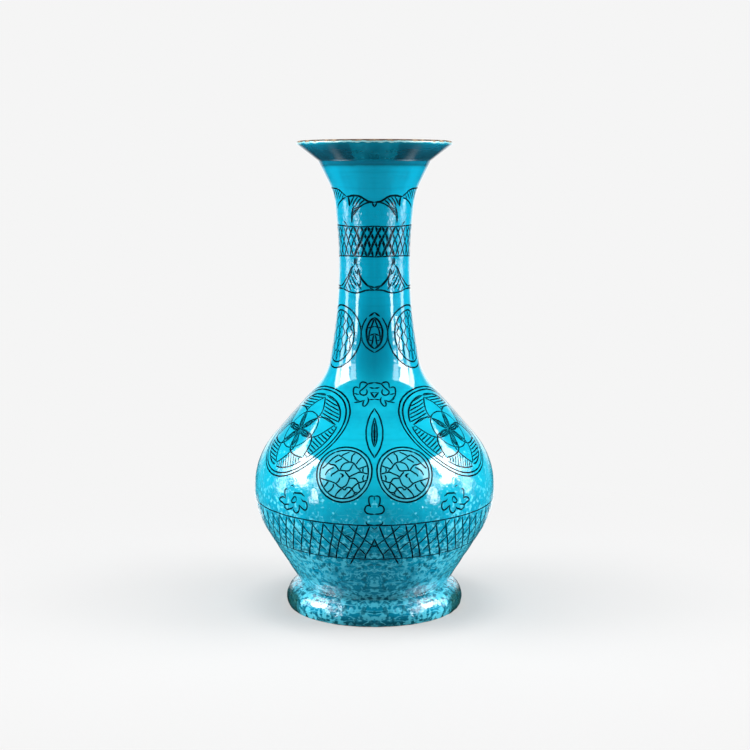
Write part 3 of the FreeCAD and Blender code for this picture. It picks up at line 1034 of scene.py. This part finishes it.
swags = Brush("swag_drawing")
swag_place = run_to(276 * mm)
tassel = 2.2
swag_strokes = (
    (bold, (0, 3.6), (3.5, 3.8), (6, 5), (9, 7), (12, 7.9), (16, 7.8), (18.5, 7.2), (20.8, 7.2)),
    ((20.4, 7.2), (23, 9), (26, 11), (29, 12.3), (33, 12.9), (42, 13.1)),
    ((2.5, 3.3), (5, 3), (7.5, 2), (10, 0.4), (12, -1.6), (13.8, -4), (15.6, -5.8)),
    (bold, (14, 1), (15.2, -1.5), (16, -5), (16.1, -10.4)),
    (tassel, (19, 7.2), (18.4, 5), (18, 3), (18.1, 0.8)),
    ((21, 6.6), (24, 5.6), (27, 4), (30, 2), (32.4, -0.6)),
    (bold, (37, 12.8), (36.4, 9), (37, 5)),
    (bold, (1.6, 3.4), (0.9, 1.8), (0, 0.2)),
    (fine, (24.2, -9), (22.2, -10.2), (20.4, -12.2)),
    ((6.2, 5.3), (9, 3.2), (10.8, 1)),
    ((8.6, 6.6), (11.6, 3.6), (13.4, 0.4)),
    ((11.2, 7.4), (14, 3.8), (15.4, 0.8)),
    ((13.8, 7.5), (16, 4.6), (17, 1.8)),
    ((11.6, -0.6), (13.4, -2), (15.6, -4.6)),
    (fine, (9.4, 1.2), (12.6, -0.4), (14.8, -1)),
    (fine, (23, 8.6), (24, 7.4), (25, 5.8)),
    ((25, 9.9), (26.6, 8), (28.4, 5.6)),
    ((27.2, 11), (29.2, 8.6), (31.4, 5.6)),
    ((29.4, 11.8), (31.6, 9.4), (34, 6.4)),
    (fine, (32, 12.4), (34.2, 10.2), (36, 8.6)))
for turn, side in quarters:
    swags.strokes(swag_strokes, (turn, swag_place), side)
swags.dry()


# --- ground, light and camera ---
# A plain pale table top that runs into a pale background. Soft window panes and strips
# stand at the jar's two sides, and the camera is a little above the belly.

ground_radius = 1.6
pale_grey = srgb(245, 245, 245)
shaded_grey = srgb(188, 188, 188)
shadow_share = 0.65  # how much of the ground's own shading the camera sees
bounce_grey = srgb(180, 180, 180)
mirrored_grey = srgb(26, 26, 26)  # the glaze mirrors a darker room than the one that lights it
room_grey = (0.09, 0.09, 0.09, 1)
mirrored_room = (0.015, 0.015, 0.015, 1)
mirrored_wall = (1, 1, 1, 1)
bpy.ops.mesh.primitive_circle_add(vertices=96, radius=ground_radius, fill_type="NGON")
ground = bpy.context.object
ground.name = "ground"
pale_ground = bpy.data.materials.new("pale_ground")
table = Recipe(pale_ground)
table.tree.nodes.remove(table.tree.nodes["Principled BSDF"])
rays = table.add("LightPath", {})
spot = table.add("TexCoord", {})["Object"]
reach = table.add("VectorMath", {0: spot}, operation="LENGTH")["Value"]
near = table.fall(reach, 0.08, 0.42)
unshaded = table.add("Emission", {"Color": pale_grey, "Strength": 1})[0]
shaded = table.add("BsdfDiffuse", {"Color": shaded_grey})[0]
dim = table.add("BsdfDiffuse", {"Color": bounce_grey})[0]
seen = table.add("MixShader", {0: table.times(near, shadow_share), 1: unshaded, 2: shaded})[0]
# the glaze mirrors a pale strip behind the jar, and the far side of the table
sideways, depth, *_ = table.add("SeparateXYZ", {0: spot})
strip = table.times(table.rise(depth, 0.12, 0.24),
                        table.fall(table.maths("ABSOLUTE", sideways), 0.14, 0.2))
behind = table.maths("MAXIMUM", strip, table.rise(depth, 0.8, 1.4))
mirrored_tone = table.blend(behind, mirrored_grey, pale_grey)
mirrored = table.add("BsdfDiffuse", {"Color": mirrored_tone})[0]
lit = table.add("MixShader", {0: rays["Is Glossy Ray"], 1: dim, 2: mirrored})[0]
lit = table.add("MixShader", {0: rays["Is Camera Ray"], 1: lit, 2: seen})[0]
table.fill(table.tree.nodes["Material Output"], {"Surface": lit})
ground.data.materials.append(pale_ground)

studio = bpy.data.worlds.new("studio")
bpy.context.scene.world = studio
room = Recipe(studio)
rays = room.add("LightPath", {})
depth = room.add("SeparateXYZ", {0: room.add("TexCoord", {})["Generated"]})[1]
mirrored = room.blend(room.rise(depth, 0.8, 0.98), mirrored_room, mirrored_wall)
sky = room.blend(rays["Is Glossy Ray"], room_grey, mirrored)
sky = room.blend(rays["Is Camera Ray"], sky, pale_grey)
room.fill(room.tree.nodes["Background"], {"Color": sky})

aim = Vector((0, 0, 160.65 * mm))


def soft_light(name, azimuth, elevation, distance, width, height, radiance, mirrored=True):
    """A flat soft light that faces the jar. Azimuth 0 is the camera's side, and 90 the right."""
    turn, climb = radians(azimuth), radians(elevation)
    out = Vector((sin(turn) * cos(climb), -cos(turn) * cos(climb), sin(climb)))
    bpy.ops.object.light_add(type="AREA", location=aim + out * distance)
    lamp = bpy.context.object
    lamp.name = name
    lamp.rotation_euler = out.to_track_quat("Z", "Y").to_euler()
    lamp.data.shape = "RECTANGLE"
    lamp.data.size, lamp.data.size_y = width, height
    lamp.data.energy = radiance * pi * width * height
    lamp.visible_glossy = mirrored


# azimuth and elevation in degrees, distance, width and height in metres, radiance
side_lights = {
    "front_pane": (57, 26.5, 1.1, 0.26, 0.56, 3),
    "middle_pane": (81, 26.5, 1.1, 0.42, 0.56, 10.5),
    "back_pane": (102, 26.5, 1.1, 0.23, 0.56, 6),
    "low_pane": (72, 12, 1.1, 0.3, 0.18, 9),
    "near_strip": (55, -1, 1.1, 0.16, 0.4, 6.5),
    "far_strip": (96, 2, 1.1, 0.24, 0.36, 3),
    "fill": (95, 4, 1.3, 0.9, 0.9, 4.2)}
for side, word in ((-1, "left"), (1, "right")):
    for name, (azimuth, *rest) in side_lights.items():
        soft_light(name + "_" + word, side * azimuth, *rest, mirrored=name != "fill")
soft_light("ceiling", 0, 89, 1.2, 0.6, 0.6, 11, mirrored=False)

camera_height = 292.4 * mm
camera_distance = 956 * mm
camera_offset = 0.35 * mm  # the jar stands half a pixel left of the picture's middle
camera_lens, camera_film = 67.06, 36
bpy.ops.object.camera_add(location=(camera_offset, -camera_distance, camera_height))
camera = bpy.context.object
camera.data.lens, camera.data.sensor_width = camera_lens, camera_film
look = Vector((camera_offset, 0, aim.z)) - camera.location
camera.rotation_euler = look.to_track_quat("-Z", "Y").to_euler()
bpy.context.scene.camera = camera
bpy.context.scene.view_settings.view_transform = "Standard"
